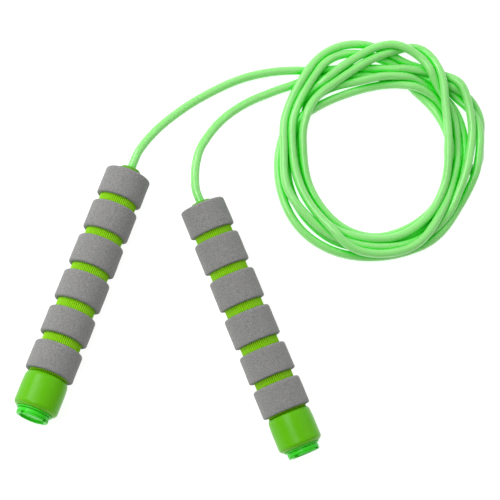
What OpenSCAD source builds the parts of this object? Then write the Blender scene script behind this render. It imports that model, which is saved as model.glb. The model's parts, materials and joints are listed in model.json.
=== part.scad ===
// Jump rope: two foam-ringed handles that spin on a round plastic rope, which is
// coiled beside them. Millimetres, +Z up. Everything lies on the plane z = 0.
// The origin is under the middle of the two handles. A handle is drawn upright,
// with its nose at z = 0 and its plug on top, and then laid down in its place.

/* [Rope] */
// Diameter of the rope
rope_d = 5; // [4:0.1:6]
// Clearance between the rope and each hole that it turns in
rope_gap = 0.3; // [0.2:0.05:0.6]
// Outer diameter of the coil
coil_d = 132; // [110:1:140]
// Width of the coil's bundle of turns
coil_w = 26; // [18:1:34]
// Height of the coil
coil_h = 15; // [10:1:20]

/* [Handle] */
// Length from the nose's tip to the barrel's end
handle_l = 152; // [145:0.1:160]
// Diameter of the grip sleeve at its nose end
sleeve_d_nose = 20.8; // [19:0.1:24]
// Diameter of the grip sleeve at the barrel
sleeve_d_barrel = 22.8; // [20:0.1:25]
// Wall of the grip sleeve
sleeve_wall = 1.6; // [1:0.1:2]
// Diameter of the nose
nose_d = 12; // [9:0.1:14]
// Length of the nose in front of the grip sleeve
nose_l = 4.3; // [3:0.1:5]
// Diameter of the core's chamber
chamber_d = 13.2; // [11:0.1:14]
// Thickness of the core's two end walls, which the rope turns in
wall_t = 3.5; // [3:0.1:6]

/* [Foam rings] */
// Diameter of the rings' cone at the nose
ring_d_nose = 26.4; // [25:0.1:30]
// Diameter of the rings' cone at the barrel
ring_d_barrel = 28.6; // [26:0.1:32]
// Radius of the rings' edges
ring_edge = 1.4; // [0.5:0.1:2]

/* [Barrel and plug] */
// Diameter of the barrel
barrel_d = 25.8; // [24:0.1:27]
// Length of the barrel
barrel_l = 21; // [20:0.1:26]
// Length of the barrel's straight stretch
grip_land = 11; // [8:0.5:12]
// Diameter of the hole in the barrel that the plug pushes into
socket_d = 19.2; // [18:0.1:19.4]
// Clearance between the plug and the barrel's hole
plug_gap = 0.05; // [0.02:0.01:0.1]
// Length of the plug outside the barrel
plug_out = 4.6; // [4:0.1:8]
// Length of the plug inside the barrel
plug_in = 6.2; // [4:0.1:6.8]

/* [Places] */
// Turn of the left handle, clockwise from straight away
left_turn = -20.8; // [-30:0.1:-10]
// Turn of the right handle
right_turn = 22.8; // [10:0.1:30]

/* [Hidden] */
$fn = 96;
SIDES = ["left", "right"];
HANDLE_PARTS = [
    "core", "grip_sleeve", "barrel", "end_plug", "thrust_washer",
    "rope_stopper", "rope_end", "rope_tail"
];
ring_count = 6;

lime = [0.45, 0.76, 0.10];
core_green = [0.36, 0.66, 0.12];
bright_green = [0.24, 0.80, 0.24];
rope_green = [0.36, 0.88, 0.36];
foam_grey = [0.54, 0.54, 0.53];
washer_white = [0.90, 0.90, 0.88];

rope_r = rope_d / 2;
hole_r = rope_r + rope_gap;

// Foam rings, from the nose: where each one starts, and its length. They are cut
// and pushed on by hand, so no two are quite alike.
left_rings = [[3.6, 16.6], [25, 16.9], [46.9, 17.2], [69.2, 17], [91.9, 15.8], [113.1, 16.9]];
right_rings = [[1.7, 16.9], [22.9, 17.9], [45.9, 17.9], [69, 18], [92.1, 16.6], [113.2, 16.8]];
rings = [left_rings, right_rings];
barrel_at = handle_l - barrel_l;

// The rings' outer faces lie on one slim cone, and so do the sleeve's
function between(z, z0, r0, z1, r1) = r0 + (r1 - r0) * (z - z0) / (z1 - z0);
function ring_r(z) = between(z, 0, ring_d_nose / 2, barrel_at, ring_d_barrel / 2);
function sleeve_r(z) = between(z, nose_l, sleeve_d_nose / 2, barrel_at, sleeve_d_barrel / 2);
function core_r(z) = sleeve_r(z) - sleeve_wall;

// A cone that lies on the floor leans its axis by its own half angle
lean = atan((ring_d_barrel - ring_d_nose) / 2 / barrel_at);
nose_z = ring_r(0) * cos(lean);
nose = [[-22.7, 81.1, nose_z], [18.1, 63.7, nose_z]];
turn = [left_turn, right_turn];

// Along the handle, from the nose: where the inner pieces sit
seat_r = core_r(barrel_at);
nose_edge = 0.8;
plug_end_gap = 1.2;
cup_depth = 7;
core_l = handle_l - plug_in - plug_end_gap;
bearing_face = core_l - cup_depth;
bearing_at = bearing_face - wall_t;
washer_t = 1;
washer_r = 5.8;
stopper_gap = 0.3;
stopper_at = bearing_face + washer_t + stopper_gap;
stopper_l = 8;
stopper_r = 4.4;
rope_past_stopper = 1.7;
rope_end_at = stopper_at + stopper_l + rope_past_stopper;
rope_out = 2;

// Barrel: its ends are drawn in from the straight stretch
barrel_mouth_r = 10.4;
shoulder_l = 3.8;
shoulder_taper = 0.2;
end_taper_l = 2.8;
land_end = handle_l - end_taper_l;
land_start = land_end - grip_land;
end_round = 2.4;
rim_w = 0.4;

// Plug
flange_r = 10.45;
flange_t = 0.9;
flange_edge = 0.35;
plug_r = 9.45;
groove = 0.35;
groove_l = 0.5;
lip_l = 0.9;
spigot_r = socket_d / 2 - plug_gap;
spigot_wall = 1.7;
plug_edge = 0.8;
recess_r = 7.4;
recess_depth = 1.2;
post_r = 3;
post_gap = 0.3;
notch_w = 2.4;
notch_depth = 1.4;
notch_count = 4;

// How far a cut runs past the face that it opens
past = 1;

// Coil and the routes of the two free stretches of rope. The first two points of
// each are straight out of the handle, and the last one is just inside the coil.
coil_at = [127, 101, 0];
coil_edge = 5;
straight_out = 6;
left_route = [
    [-18.5, 91.4, 12.9], [-15, 96.6, 12.4], [-9, 103.8, 11.6], [-2.5, 110.3, 10.4], [4.2, 116, 9],
    [11.5, 121.8, 7.4], [19, 127, 6], [27, 132, 4.7], [35.5, 136.8, 3.6],
    [44.5, 141, 2.9], [54, 144.2, 2.6], [64, 146.5, 2.5], [74, 147.8, 2.5],
    [81.3, 148.3, 2.5]
];
right_route = [
    [14.9, 79, 12.6], [15.9, 88, 11.9], [18.2, 95.5, 10.9], [22.3, 102.5, 9.7],
    [27.6, 109.7, 8.3], [34, 116.4, 6.8], [41.5, 122.4, 5.2], [50, 127.8, 3.9],
    [59, 132.2, 3], [67, 135.8, 2.6], [73.2, 138.2, 2.5]
];
route = [left_route, right_route];
rope_sides = 10;

// Points of an arc in a flat outline
function arc(centre, r, from, to, steps = 6) = [
    for (i = [0:steps])
        let (a = from + (to - from) * i / steps)
            centre + r * [cos(a), sin(a)]
];

// Which handle a side is: 0 is left and 1 is right
function hand(side) = side == "left" ? 0 : 1;

// A point on a handle's axis, d in front of its nose
function ahead(k, d) =
    nose[k] + d * [-sin(turn[k]) * cos(lean), cos(turn[k]) * cos(lean), -sin(lean)];

// The directions along, across and up a rope that runs through points
function unit(v) = v / norm(v);
function along(p, i) = unit(p[min(i + 1, len(p) - 1)] - p[max(i - 1, 0)]);
function across(t) = unit(cross(t, [0, 0, 1]));

// A round tube swept through points, with a ring of corners at each
module swept(p, r, sides) {
    corners = [
        for (i = [0:len(p) - 1])
            let (t = along(p, i), a = across(t), b = cross(a, t))
                for (j = [0:sides - 1])
                    p[i] + r * (cos(360 * j / sides) * a + sin(360 * j / sides) * b)
    ];
    walls = [
        for (i = [0:len(p) - 2], j = [0:sides - 1])
            let (k = (j + 1) % sides)
                [i * sides + j, (i + 1) * sides + j, (i + 1) * sides + k, i * sides + k]
    ];
    start = [for (j = [0:sides - 1]) j];
    finish = [for (j = [sides - 1:-1:0]) (len(p) - 1) * sides + j];
    polyhedron(corners, concat(walls, [start, finish]));
}

// A round bar with a hole through it, standing on z = 0
module tube(r, bore, h) {
    difference() {
        cylinder(r = r, h = h);
        translate([0, 0, -past]) cylinder(r = bore, h = h + 2 * past);
    }
}

// Lays an upright handle's piece down in its place
module laid(side) {
    k = hand(side);
    translate(nose[k]) rotate([90 - lean, 0, turn[k]]) children();
}

// Moulded core: nose, front wall, chamber, and the wall that the washer turns on
module core(side) {
    color(core_green) laid(side) difference() {
        rotate_extrude() polygon([
            [0, 0], [nose_d / 2 - nose_edge, 0], [nose_d / 2, nose_edge], [nose_d / 2, nose_l],
            [core_r(nose_l), nose_l], [seat_r, barrel_at], [seat_r, core_l], [0, core_l]
        ]);
        translate([0, 0, -past]) cylinder(r = hole_r, h = core_l + 2 * past);
        translate([0, 0, nose_l + wall_t])
            cylinder(d = chamber_d, h = bearing_at - nose_l - wall_t);
        translate([0, 0, bearing_face]) cylinder(d = chamber_d, h = cup_depth + past);
    }
}

// Soft ribbed skin of the handle, plain here
module grip_sleeve(side) {
    color(lime) laid(side) rotate_extrude() polygon([
        [core_r(nose_l), nose_l], [sleeve_r(nose_l), nose_l],
        [sleeve_r(barrel_at), barrel_at], [core_r(barrel_at), barrel_at]
    ]);
}

// One foam ring, counted from the nose
module foam_ring(side, i) {
    start = rings[hand(side)][i - 1][0];
    end = start + rings[hand(side)][i - 1][1];
    lower = start + ring_edge;
    upper = end - ring_edge;
    color(foam_grey) laid(side) rotate_extrude() polygon(concat(
        [[sleeve_r(start), start]],
        arc([ring_r(lower) - ring_edge, lower], ring_edge, -90, 0),
        arc([ring_r(upper) - ring_edge, upper], ring_edge, 0, 90),
        [[sleeve_r(end), end]]
    ));
}

// Hard end sleeve, pushed over the core until its inner step stops it
module barrel(side) {
    shoulder_r = barrel_d / 2 - shoulder_taper;
    shoulder = [
        for (a = [0:15:90])
            [
                barrel_mouth_r + (shoulder_r - barrel_mouth_r) * sin(a),
                barrel_at + shoulder_l * (1 - cos(a))
            ]
    ];
    color(core_green) laid(side) rotate_extrude() polygon(concat(
        [[seat_r, barrel_at]],
        shoulder,
        [[barrel_d / 2, land_start]],
        arc([barrel_d / 2 - end_round, land_end], end_round, 0, 60),
        [[flange_r + rim_w, handle_l], [socket_d / 2, handle_l]],
        [[socket_d / 2, core_l], [seat_r, core_l]]
    ));
}

// End plug: flange, body, notched lip with a recess, and inside a spigot and a post
module end_plug(side) {
    tip = handle_l + plug_out;
    color(bright_green) laid(side) difference() {
        union() {
            rotate_extrude() polygon(concat(
                [[0, handle_l]],
                arc([flange_r - flange_edge, handle_l + flange_edge], flange_edge, -90, 0, 3),
                arc([flange_r - flange_edge, handle_l + flange_t - flange_edge], flange_edge, 0, 90, 3),
                [
                    [plug_r - groove, handle_l + flange_t],
                    [plug_r - groove, handle_l + flange_t + groove_l],
                    [plug_r, handle_l + flange_t + groove_l],
                    [plug_r, tip - lip_l - groove_l], [plug_r - groove, tip - lip_l - groove_l],
                    [plug_r - groove, tip - lip_l], [plug_r, tip - lip_l]
                ],
                arc([plug_r - plug_edge, tip - plug_edge], plug_edge, 0, 90, 4),
                [[0, tip]]
            ));
            translate([0, 0, handle_l - plug_in])
                tube(spigot_r, spigot_r - spigot_wall, plug_in + flange_t);
            translate([0, 0, rope_end_at + post_gap])
                cylinder(r = post_r, h = handle_l - rope_end_at);
        }
        translate([0, 0, tip - recess_depth]) cylinder(r = recess_r, h = recess_depth + past);
        for (a = [0:360 / notch_count:359])
            rotate(a + 45) translate([plug_r, 0, tip])
                cube([2 * notch_depth, notch_w, 2 * lip_l], center = true);
    }
}

// Washer between the stopper and the core's inner wall
module thrust_washer(side) {
    color(washer_white) laid(side) translate([0, 0, bearing_face]) tube(washer_r, hole_r, washer_t);
}

// Stopper clamped on the rope's end
module rope_stopper(side) {
    color(bright_green) laid(side) translate([0, 0, stopper_at]) tube(stopper_r, rope_r, stopper_l);
}

// Straight stretch of rope inside the handle, which the handle spins on
module rope_end(side) {
    color(rope_green) laid(side) translate([0, 0, -rope_out])
        cylinder(r = rope_r, h = rope_end_at + rope_out);
}

// Free stretch of rope from the handle to the coil
module rope_tail(side) {
    k = hand(side);
    color(rope_green)
        swept(concat([ahead(k, rope_out), ahead(k, straight_out)], route[k]), rope_r, rope_sides);
}

// Outer shape of the coiled rope
module rope_coil() {
    inner = coil_d / 2 - coil_w;
    color(rope_green) translate(coil_at) rotate_extrude() {
        translate([inner + coil_edge, 0]) square([coil_w - 2 * coil_edge, coil_h]);
        translate([inner, coil_edge]) square([coil_w, coil_h - 2 * coil_edge]);
        for (r = [inner + coil_edge, inner + coil_w - coil_edge], z = [coil_edge, coil_h - coil_edge])
            translate([r, z]) circle(coil_edge);
    }
}

for (side = SIDES) {
    core(side);
    grip_sleeve(side);
    for (i = [1:ring_count])
        foam_ring(side, i);
    barrel(side);
    end_plug(side);
    thrust_washer(side);
    rope_stopper(side);
    rope_end(side);
    rope_tail(side);
}
rope_coil();
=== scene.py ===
"""Looks of the jump rope: ribbed grips, foam rings, plastic ends, and the rope's real coil.

A handle's pieces are turned about its axis, from the nose (0) to the plug.
The rope is one line: out of the left nose, about six turns of a coil, a fold
hidden under the turns, and back to the right nose.
"""

import json
import math

import bpy
import numpy as np
from mathutils import Matrix, Vector, noise


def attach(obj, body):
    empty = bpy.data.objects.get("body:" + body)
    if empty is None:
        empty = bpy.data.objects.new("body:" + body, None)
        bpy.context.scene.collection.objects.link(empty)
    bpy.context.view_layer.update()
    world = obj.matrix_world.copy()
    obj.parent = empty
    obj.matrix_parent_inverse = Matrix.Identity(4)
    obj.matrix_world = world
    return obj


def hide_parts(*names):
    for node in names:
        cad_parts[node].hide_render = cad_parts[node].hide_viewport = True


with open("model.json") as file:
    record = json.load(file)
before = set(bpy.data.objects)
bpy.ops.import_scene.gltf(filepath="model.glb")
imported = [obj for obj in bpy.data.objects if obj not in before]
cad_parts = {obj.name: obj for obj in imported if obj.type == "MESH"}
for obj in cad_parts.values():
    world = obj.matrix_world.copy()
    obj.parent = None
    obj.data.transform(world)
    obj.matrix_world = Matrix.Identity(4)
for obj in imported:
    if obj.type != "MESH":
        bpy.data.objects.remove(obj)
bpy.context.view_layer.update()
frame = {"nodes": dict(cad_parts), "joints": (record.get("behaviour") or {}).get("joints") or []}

SIDES = ("left", "right")
RINGS = range(1, 7)
MM = 0.001

# Camera: a long lens, a little off the vertical
PHOTO_SPAN = 0.290
CAMERA_FOCAL = 216
SENSOR = 36
CAMERA_TARGET = Vector((0.0502, 0.0396, 0))
CAMERA_TILT = math.radians(17)
CAMERA_HEADING = math.radians(47)

# Rope
ROPE_D = 0.005
FLOOR_Z = ROPE_D / 2
LEFT_ROUTE = [
    (-0.0185, 0.0914, 0.0129), (-0.015, 0.0966, 0.0124), (-0.009, 0.1038, 0.0116),
    (-0.0025, 0.1103, 0.0104), (0.0042, 0.116, 0.009), (0.0115, 0.1218, 0.0074),
    (0.019, 0.127, 0.006), (0.027, 0.132, 0.0047), (0.0355, 0.1368, 0.0036),
    (0.0445, 0.141, 0.0029), (0.054, 0.1442, 0.0026), (0.064, 0.1465, 0.0025),
    (0.074, 0.1478, 0.0025), (0.0813, 0.1483, 0.0025),
]
RIGHT_ROUTE = [
    (0.0149, 0.079, 0.0126), (0.0159, 0.088, 0.0119), (0.0182, 0.0955, 0.0109),
    (0.0223, 0.1025, 0.0097), (0.0276, 0.1097, 0.0083), (0.034, 0.1164, 0.0068),
    (0.0415, 0.1224, 0.0052), (0.05, 0.1278, 0.0039), (0.059, 0.1322, 0.003),
    (0.067, 0.1358, 0.0026), (0.0732, 0.1382, 0.0025),
]

# Coil: each turn's distance from the middle, in mm, at even steps clockwise from
# the left, and how many layers of rope it lies above the floor there
COIL_AT = Vector((0.127, 0.101, 0))
STEPS = 16
FIRST_STEP = 3
LAYER = 0.0044
RADII = [
    [54, 50.5, 54, 62.5, 61.5, 53.5, 52, 54.5, 56, 57, 59.5, 60, 61],
    [58, 59.5, 62.5, 67.5, 64, 56, 60, 65.5, 60, 58, 57.5, 60.5, 62.5, 66, 67.5, 64],
    [59, 55.5, 53.5, 55, 63, 62.5, 55, 50, 46.5, 47, 52, 58, 61, 61, 55.5, 53],
    [53, 54.5, 58, 62.5, 57, 48, 45, 45, 43.5, 44, 46.5, 48.5, 51.5, 53, 50.5, 48],
    [47.5, 49, 49, 49.5, 58, 69.5, 52.5, 44, 41.5, 43, 46.5, 49.5, 53.5, 54, 52, 51.5],
    [49, 50.5, 49, 45.5, 46, 49.5, 53, 54.5, 53, 51.5, 52.5, 55, 57, 59.5, 60.5, 59],
    [54, 50, 42, 39, 40.5, 45, 49],
]
LAYERS = [
    [0.2, 0.8, 1, 1, 1.4, 1.8, 1.6, 1, 1, 1, 0.8, 1, 1],
    [1, 1.2, 1, 0, 0, 0, 0, 1, 1, 0.8, 0.4, 0, 0, 0, 0, 0],
    [0, 0, 0, 1.4, 1.2, 1.8, 1.2, 0.8, 1, 1.4, 1.4, 1.6, 1.6, 1.6, 1.4, 1.2],
    [1.2, 1, 1, 0.6, 0, 0, 0, 0.2, 1, 0.6, 0, 0, 0, 0, 0, 0.2],
    [0.8, 1.4, 1.6, 1.6, 1.2, 1.8, 2, 2, 2, 1.4, 1, 1, 1, 0.4, 0.2, 0],
    [0, 0, 0.4, 0.8, 1, 1, 0.8, 0.4, 1.2, 1, 0.2, 0, 0, 0, 0, 0],
    [0, 0.8, 0.2, 0, 0.2, 1, 1],
]
# The last turn folds back under the others and leaves along the coil's top
FOLD_ROUTE = [
    (0.1675, 0.1245, 0.0045), (0.1695, 0.118, 0.003), (0.1702, 0.112, 0.0025),
    (0.1698, 0.1065, 0.0025), (0.1698, 0.1017, 0.0025), (0.1711, 0.0969, 0.0025),
    (0.1747, 0.0933, 0.0025), (0.1795, 0.092, 0.0025), (0.1844, 0.0933, 0.0025),
    (0.1879, 0.0969, 0.0025), (0.1892, 0.1017, 0.0025), (0.1893, 0.107, 0.0025),
    (0.1892, 0.1125, 0.0025), (0.1884, 0.119, 0.0025), (0.1865, 0.126, 0.0025),
    (0.1835, 0.1325, 0.0025), (0.179, 0.138, 0.0025),
    (0.173, 0.1425, 0.0025), (0.166, 0.1455, 0.0025), (0.159, 0.1475, 0.0025),
    (0.147, 0.1485, 0.0025), (0.1345, 0.148, 0.0025), (0.1225, 0.1465, 0.0025),
    (0.110, 0.145, 0.0025), (0.100, 0.144, 0.0025), (0.092, 0.143, 0.0025),
    (0.084, 0.142, 0.0025),
]
# The fold stays where it is between these two of its points
FOLD_BEND = (2, 12)
# Points straight out of a nose, in mm
STRAIGHT_OUT = (2, 6)

# Laying the rope down, in rounds of small moves of a coarse line of points
COARSE_STEP = 0.003
FINE_STEP = 0.0015
ROUNDS = 400
LAST_ROUNDS = 80
LOOK_AGAIN = 8
PASSES = 3
HOLD = 0.04
LAST_HOLD = 0.015
SINK = 0.00004
STIFFNESS = 0.1
LEVELLING = 0.1
PUSH = 0.25
UPWARDS = 1.5
TOUCH = 0.98 * ROPE_D
NEIGHBOURS = 6

# Grip
RIB_COUNT = 60
RIB_DEPTH = 0.0006
RING_EDGE = 0.0016
RING_LOWER_EDGE = 0.001
FOAM_WAVE = 0.00012
AROUND = 96


def srgb(red, green, blue):
    """A colour as a screen shows it, 0 to 255, turned into a shader's value."""
    def linear(value):
        value = value / 255
        return value / 12.92 if value <= 0.04045 else ((value + 0.055) / 1.055) ** 2.4
    return (linear(red), linear(green), linear(blue), 1)


# ---------------------------------------------------------------- camera

def make_camera():
    forward = Vector((
        math.sin(CAMERA_HEADING) * math.sin(CAMERA_TILT),
        math.cos(CAMERA_HEADING) * math.sin(CAMERA_TILT),
        -math.cos(CAMERA_TILT),
    ))
    right = forward.cross(Vector((0, 1, 0))).normalized()
    up = right.cross(forward)
    data = bpy.data.cameras.new("camera")
    data.lens = CAMERA_FOCAL
    data.sensor_width = SENSOR
    camera = bpy.data.objects.new("camera", data)
    distance = PHOTO_SPAN * CAMERA_FOCAL / SENSOR
    turn = Matrix((right, up, -forward)).transposed().to_4x4()
    camera.matrix_world = Matrix.Translation(CAMERA_TARGET - distance * forward) @ turn
    bpy.context.scene.collection.objects.link(camera)
    bpy.context.scene.camera = camera


# ---------------------------------------------------------------- rope

def coil_points():
    """The points of the coil's turns, clockwise from above."""
    points = []
    for turn, (radii, layers) in enumerate(zip(RADII, LAYERS)):
        first = FIRST_STEP if turn == 0 else 0
        for k, (radius, layer) in enumerate(zip(radii, layers)):
            angle = math.pi - (first + k) * 2 * math.pi / STEPS
            x = COIL_AT.x + radius * MM * math.cos(angle)
            y = COIL_AT.y + radius * MM * math.sin(angle)
            points.append((x, y, FLOOR_Z + LAYER * layer))
    return points


def smooth_line(points, step):
    """A smooth curve through points, with a point at about every step."""
    p = np.array(points, float)
    span = np.linalg.norm(np.diff(p, axis=0), axis=1)
    slope = np.diff(p, axis=0) / span[:, None]
    lean = np.empty_like(p)
    lean[0], lean[-1] = slope[0], slope[-1]
    before, after = span[:-1, None], span[1:, None]
    lean[1:-1] = (slope[1:] * before + slope[:-1] * after) / (before + after)
    line = []
    for i, length in enumerate(span):
        count = max(1, round(length / step))
        for t in np.arange(count) / count:
            near = (1 + 2 * t) * (1 - t) ** 2 * p[i] + t * (1 - t) ** 2 * length * lean[i]
            far = (3 - 2 * t) * t ** 2 * p[i + 1] + (t - 1) * t ** 2 * length * lean[i + 1]
            line.append(near + far)
    line.append(p[-1])
    return np.array(line)


def spread_evenly(line, step):
    along = np.concatenate([[0], np.cumsum(np.linalg.norm(np.diff(line, axis=0), axis=1))])
    even = np.linspace(0, along[-1], round(along[-1] / step) + 1)
    return np.column_stack([np.interp(even, along, line[:, k]) for k in range(3)])


def close_pairs(rope):
    """Pairs of points that may soon touch, without a point's neighbours along the rope."""
    gap = np.linalg.norm(rope[:, None] - rope[None], axis=2)
    return np.nonzero(np.triu(gap < 2 * ROPE_D, NEIGHBOURS))


def straighten(rope):
    """Evens out the rope's bends, and its ups and downs a little more."""
    bend = np.zeros_like(rope)
    bend[1:-1] = rope[:-2] + rope[2:] - 2 * rope[1:-1]
    rope[2:-2] -= STIFFNESS * (bend[1:-3] + bend[3:-1] - 2 * bend[2:-2])
    rope[1:-1, 2] += LEVELLING * bend[1:-1, 2]


def push_apart(rope, first, second):
    """Moves points that lie in each other apart, mostly upwards, and keeps all above the floor."""
    away = rope[first] - rope[second]
    gap = np.linalg.norm(away, axis=1)
    close = gap < TOUCH
    push_way = away[close] * (1, 1, UPWARDS)
    push_way /= np.linalg.norm(push_way, axis=1)[:, None]
    step = PUSH * (TOUCH - gap[close])[:, None] * push_way
    push = np.zeros_like(rope)
    count = np.zeros(len(rope))
    for points, move in ((first[close], step), (second[close], -step)):
        np.add.at(push, points, move)
        np.add.at(count, points, 1)
    rope += push / np.maximum(1, count / 2)[:, None]
    rope[:, 2] = np.maximum(rope[:, 2], FLOOR_Z)


def settle(line, free):
    """Lays a rope down near its place: it sinks, bends smoothly and keeps out of itself."""
    rope = line.copy()
    for n in range(ROUNDS):
        if n % LOOK_AGAIN == 0:
            first, second = close_pairs(rope)
        hold = HOLD if n < ROUNDS - LAST_ROUNDS else LAST_HOLD
        rope[:, :2] += hold * (line[:, :2] - rope[:, :2])
        rope[:, 2] -= SINK
        for _ in range(PASSES):
            straighten(rope)
        for _ in range(PASSES):
            push_apart(rope, first, second)
        rope[~free] = line[~free]
    return rope


def nearest(line, point):
    return int(np.argmin(np.linalg.norm(line - np.array(point), axis=1)))


def rope_line(noses):
    """The rope from nose to nose. Its two free stretches and the fold's bend stay on their routes."""
    starts = [[nose + out * MM * ahead for out in STRAIGHT_OUT] for nose, ahead in noses]
    points = starts[0] + LEFT_ROUTE + coil_points() + FOLD_ROUTE + RIGHT_ROUTE[::-1] + starts[1][::-1]
    line = spread_evenly(smooth_line(points, 0.001), COARSE_STEP)
    free = np.zeros(len(line), bool)
    free[nearest(line, LEFT_ROUTE[-1]):nearest(line, RIGHT_ROUTE[-1])] = True
    bend_start, bend_end = (nearest(line, FOLD_ROUTE[i]) for i in FOLD_BEND)
    free[bend_start:bend_end] = False
    return smooth_line(settle(line, free), FINE_STEP)


def make_rope(noses):
    line = rope_line(noses)
    data = bpy.data.curves.new("rope", "CURVE")
    data.dimensions = "3D"
    data.bevel_depth = ROPE_D / 2
    data.bevel_resolution = 8
    spline = data.splines.new("POLY")
    spline.points.add(len(line) - 1)
    for point, place in zip(spline.points, line):
        point.co = (*place, 1)
    spline.use_smooth = True
    rope = bpy.data.objects.new("rope", data)
    bpy.context.scene.collection.objects.link(rope)
    return rope, line


# ---------------------------------------------------------------- materials

class Shader:
    """A procedural material with one Principled shader."""

    def __init__(self, name, **inputs):
        self.material = bpy.data.materials.new(name)
        self.material.use_nodes = True
        self.tree = self.material.node_tree
        self.shader = self.tree.nodes["Principled BSDF"]
        for key, value in inputs.items():
            self.shader.inputs[key.replace("_", " ")].default_value = value
        self.place = self.node("ShaderNodeTexCoord").outputs["Object"]
        self.height = None

    def node(self, kind, **settings):
        node = self.tree.nodes.new(kind)
        for key, value in settings.items():
            setattr(node, key, value)
        return node

    def link(self, source, target):
        self.tree.links.new(source, target)

    def noise(self, scale, detail=3, roughness=0.5):
        node = self.node("ShaderNodeTexNoise")
        node.inputs["Scale"].default_value = scale
        node.inputs["Detail"].default_value = detail
        node.inputs["Roughness"].default_value = roughness
        self.link(self.place, node.inputs["Vector"])
        return node.outputs["Fac"]

    def cells(self, scale):
        node = self.node("ShaderNodeTexVoronoi")
        node.inputs["Scale"].default_value = scale
        self.link(self.place, node.inputs["Vector"])
        return node.outputs["Distance"]

    def crevice_shade(self, reach, grain):
        """Painted shade: an ambient-occlusion factor near 1 on open faces and near 0 deep between
        pieces, with a little random grain; colours mixed by it paint shade into crevices.
        """
        node = self.node("ShaderNodeAmbientOcclusion", samples=8)
        node.inputs["Distance"].default_value = reach
        mix = self.node("ShaderNodeMath", operation="MULTIPLY")
        self.link(node.outputs["AO"], mix.inputs[0])
        self.link(self.remap(grain, 0.94, 1.0), mix.inputs[1])
        return mix.outputs["Value"]

    def remap(self, source, low, high, start=0.3, end=0.7):
        node = self.node("ShaderNodeMapRange")
        for key, value in zip(("From Min", "From Max", "To Min", "To Max"), (start, end, low, high)):
            node.inputs[key].default_value = value
        self.link(source, node.inputs["Value"])
        return node.outputs["Result"]

    def colour(self, factor, first, second, start=0.3, end=0.7):
        node = self.node("ShaderNodeValToRGB")
        low, high = node.color_ramp.elements
        low.position, high.position = start, end
        low.color, high.color = first, second
        self.link(factor, node.inputs["Fac"])
        self.link(node.outputs["Color"], self.shader.inputs["Base Color"])

    def roughness(self, source, low, high):
        self.link(self.remap(source, low, high), self.shader.inputs["Roughness"])

    def bump(self, source, depth, strength=1.0):
        node = self.node("ShaderNodeBump")
        node.inputs["Distance"].default_value = depth
        node.inputs["Strength"].default_value = strength
        self.link(source, node.inputs["Height"])
        if self.height:
            self.link(self.height, node.inputs["Normal"])
        self.height = node.outputs["Normal"]
        self.link(self.height, self.shader.inputs["Normal"])


def rope_material():
    look = Shader("rope_pvc", Subsurface_Weight=0.4, Subsurface_Scale=0.003,
                  Specular_IOR_Level=0.4, Coat_Weight=0.6, Coat_Roughness=0.15)
    look.shader.inputs["Subsurface Radius"].default_value = (0.35, 1.0, 0.3)
    # Painted shade: the first colour, a deep saturated green, is painted between touching turns; the
    # second is the rope's own colour.
    look.colour(look.crevice_shade(0.005, look.noise(90)), srgb(38, 236, 30), srgb(148, 232, 130), 0.3, 0.9)
    look.roughness(look.noise(400), 0.26, 0.34)
    look.bump(look.noise(160, 2), 0.00001)
    return look.material


def foam_material():
    look = Shader("grip_foam", Specular_IOR_Level=0.25, Sheen_Weight=0.15, Sheen_Roughness=0.6)
    look.colour(look.noise(1400, 3, 0.6), srgb(118, 118, 117), srgb(150, 149, 148), 0.35, 0.65)
    look.roughness(look.noise(300), 0.82, 0.95)
    look.bump(look.cells(2200), 0.00006, 0.5)
    look.bump(look.noise(1800, 3, 0.6), 0.00006, 0.6)
    return look.material


def sleeve_material():
    look = Shader("grip_rubber", Specular_IOR_Level=0.2, Subsurface_Weight=0.05, Subsurface_Scale=0.001)
    # Painted shade: the first colour, a dark green, is painted in the crevices next to the foam rings;
    # the second is the sleeve's own lime.
    look.colour(look.crevice_shade(0.004, look.noise(150)), srgb(54, 118, 0), srgb(147, 216, 2), 0.22, 0.58)
    look.roughness(look.noise(500), 0.45, 0.58)
    look.bump(look.noise(900, 3), 0.00004)
    return look.material


def moulded_material(name, painted_shade, light, low, high, grain, glow):
    """Moulded plastic: its own colour on open faces and a painted shade colour in crevices, roughness
    from low to high.
    """
    look = Shader(name, Subsurface_Weight=glow, Subsurface_Scale=0.001, Specular_IOR_Level=0.22)
    # Painted shade: the first colour darkens crevices and the gaps between parts.
    look.colour(look.crevice_shade(0.005, look.noise(120)), painted_shade, light, 0.1, 0.6)
    look.roughness(look.noise(450), low, high)
    look.bump(look.noise(700, 3), grain)
    return look.material


def make_materials():
    return {
        "rope": rope_material(),
        "foam": foam_material(),
        "grip_sleeve": sleeve_material(),
        # The first colour of each moulded piece is painted shade for its crevices; the second is its
        # own colour.
        "core": moulded_material(
            "core_plastic", srgb(50, 110, 4), srgb(98, 168, 28), 0.4, 0.5, 0.00004, 0.05),
        "barrel": moulded_material(
            "barrel_plastic", srgb(28, 96, 0), srgb(98, 188, 3), 0.27, 0.33, 0.00003, 0.05),
        "end_plug": moulded_material(
            "plug_plastic", srgb(20, 150, 8), srgb(60, 220, 36), 0.24, 0.3, 0.00002, 0.1),
        "stopper": moulded_material(
            "stopper_plastic", srgb(30, 130, 24), srgb(70, 198, 60), 0.28, 0.36, 0.00003, 0.1),
        "washer": moulded_material(
            "washer_plastic", srgb(180, 180, 172), srgb(236, 236, 230), 0.34, 0.42, 0.00003, 0.05),
    }


def dress(piece, material):
    piece.data.materials.clear()
    piece.data.materials.append(material)


# ---------------------------------------------------------------- handle

def handle_axes():
    """Each side's nose and the direction from its nose to its plug."""
    axes = {}
    for joint in frame["joints"]:
        side, _, name = joint["name"].partition("_")
        if name == "handle_spin":
            axes[side] = (Vector(joint["pos_m"]), Vector(joint["axis"]).normalized())
    return axes


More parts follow.
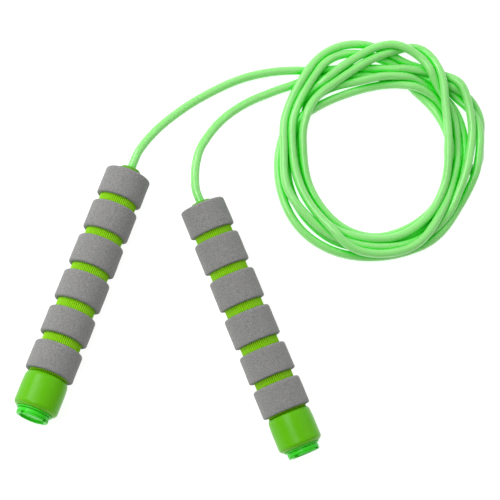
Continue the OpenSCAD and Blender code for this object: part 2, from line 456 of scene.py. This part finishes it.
def turned_shape(node, nose, axis):
    """A turned CAD node's start and end along the axis, and its inner and outer radius at each."""
    corners = np.array([v.co for v in frame["nodes"][node].data.vertices]) - np.array(nose)
    along = corners @ np.array(axis)
    radius = np.linalg.norm(corners - along[:, None] * np.array(axis), axis=1)
    start, end = along.min(), along.max()
    lower = radius[along < (start + end) / 2]
    upper = radius[along > (start + end) / 2]
    return start, end, (lower.min(), lower.max()), (upper.min(), upper.max())


def turned(name, outline, around, nose, axis, radius_at=None):
    """A closed outline of (along, radius) turned about the handle's axis."""
    corners = []
    for along, radius in outline:
        for k in range(around):
            angle = 2 * math.pi * k / around
            r = radius_at(along, radius, angle) if radius_at else radius
            corners.append((r * math.cos(angle), r * math.sin(angle), along))
    faces = []
    rows = len(outline)
    for i in range(rows):
        for k in range(around):
            a, b = i * around, (i + 1) % rows * around
            after = (k + 1) % around
            faces.append((a + k, a + after, b + after, b + k))
    mesh = bpy.data.meshes.new(name)
    mesh.from_pydata(corners, [], faces)
    mesh.transform(Matrix.Translation(nose) @ axis.to_track_quat("Z", "Y").to_matrix().to_4x4())
    mesh.polygons.foreach_set("use_smooth", [True] * len(faces))
    mesh.update()
    piece = bpy.data.objects.new(name, mesh)
    bpy.context.scene.collection.objects.link(piece)
    return piece


def arc(along, radius, size, start, end, steps=7):
    """Points of a round edge, from angle start to end in degrees, where 0 faces outwards."""
    angles = [math.radians(start + (end - start) * k / steps) for k in range(steps + 1)]
    return [(along + size * math.sin(a), radius + size * math.cos(a)) for a in angles]


def make_foam_ring(side, number, nose, axis):
    node = f"{side}_foam_ring_{number}"
    start, end, lower, upper = turned_shape(node, nose, axis)
    body = [
        (start + (end - start) * t, lower[1] + (upper[1] - lower[1]) * t)
        for t in (0.25, 0.375, 0.5, 0.625, 0.75)
    ]
    outline = (
        [(start, lower[0])]
        + arc(start + RING_EDGE, lower[1] - RING_EDGE, RING_EDGE, -90, 0)
        + body
        + arc(end - RING_LOWER_EDGE, upper[1] - RING_LOWER_EDGE, RING_LOWER_EDGE, 0, 90)
        + [(end, upper[0])]
    )
    inner = (lower[0] + upper[0]) / 2
    seed = Vector((7 * number, 31 * SIDES.index(side), 0))

    def uneven(along, radius, angle):
        """Soft foam is never quite round: a small slow wave, none at the bore."""
        place = Vector((math.cos(angle), math.sin(angle), along / 0.008)) + seed
        return radius - FOAM_WAVE * (noise.noise(place) + 1) * (radius > inner + 0.0004)

    ring = turned(f"{node}_soft", outline, AROUND, nose, axis, uneven)
    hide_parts(node)
    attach(ring, f"{side}_handle")
    return ring


def make_sleeve(side, nose, axis):
    node = f"{side}_grip_sleeve"
    start, end, lower, upper = turned_shape(node, nose, axis)
    rows = 24
    outer = [
        (start + (end - start) * k / rows, lower[1] + (upper[1] - lower[1]) * k / rows)
        for k in range(rows + 1)
    ]
    outline = [(start, lower[0])] + outer + [(end, upper[0])]

    def ribbed(along, radius, angle):
        """Rounded ribs run the whole length of the outer face."""
        if radius < lower[0] + 0.5 * (lower[1] - lower[0]):
            return radius
        rib = abs(math.sin(RIB_COUNT / 2 * angle))
        return radius - RIB_DEPTH * (1 - rib)

    sleeve = turned(f"{node}_ribbed", outline, RIB_COUNT * 8, nose, axis, ribbed)
    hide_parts(node)
    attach(sleeve, f"{side}_handle")
    return sleeve


# ---------------------------------------------------------------- studio

def make_floor():
    mesh = bpy.data.meshes.new("floor")
    half = 3.0
    low = -0.0001
    mesh.from_pydata(
        [(-half, -half, low), (half, -half, low), (half, half, low), (-half, half, low)],
        [], [(0, 1, 2, 3)])
    floor = bpy.data.objects.new("floor", mesh)
    bpy.context.scene.collection.objects.link(floor)
    look = Shader("floor_white", Roughness=0.9, Specular_IOR_Level=0.1)
    look.colour(look.noise(2), (0.36, 0.36, 0.36, 1), (0.38, 0.38, 0.38, 1))
    look.shader.inputs["Emission Color"].default_value = (1, 1, 1, 1)
    look.shader.inputs["Emission Strength"].default_value = 0.85
    dress(floor, look.material)


def add_light(name, place, size, power):
    data = bpy.data.lights.new(name, "AREA")
    data.shape = "SQUARE"
    data.size = size
    data.energy = power
    light = bpy.data.objects.new(name, data)
    light.location = place
    aim = CAMERA_TARGET - Vector(place)
    light.rotation_euler = aim.to_track_quat("-Z", "Y").to_euler()
    bpy.context.scene.collection.objects.link(light)


def make_studio():
    make_floor()
    add_light("key", (-1.12, 1.0, 1.02), 0.9, 14.5)
    add_light("top", (-0.88, 0.04, 1.55), 0.9, 11.5)
    add_light("fill", (0.86, 1.21, 1.08), 2.4, 10)
    world = bpy.data.worlds.new("studio")
    world.use_nodes = True
    background = world.node_tree.nodes["Background"]
    background.inputs["Color"].default_value = (1, 1, 1, 1)
    background.inputs["Strength"].default_value = 0.32
    bpy.context.scene.world = world
    bpy.context.scene.view_settings.view_transform = "Standard"


# ---------------------------------------------------------------- build

make_camera()
axes = handle_axes()
noses = [(axes[side][0], -axes[side][1]) for side in SIDES]
rope, line = make_rope(noses)
materials = make_materials()
dress(rope, materials["rope"])
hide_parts("left_rope_tail", "right_rope_tail", "rope_coil")
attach(rope, "rope")

CAD_SLOTS = {
    "core": "core", "barrel": "barrel", "end_plug": "end_plug",
    "thrust_washer": "washer", "rope_stopper": "stopper", "rope_end": "rope",
}
for side in SIDES:
    nose, axis = axes[side]
    dress(make_sleeve(side, nose, axis), materials["grip_sleeve"])
    for number in RINGS:
        dress(make_foam_ring(side, number, nose, axis), materials["foam"])
    for part, slot in CAD_SLOTS.items():
        dress(frame["nodes"][f"{side}_{part}"], materials[slot])

make_studio()
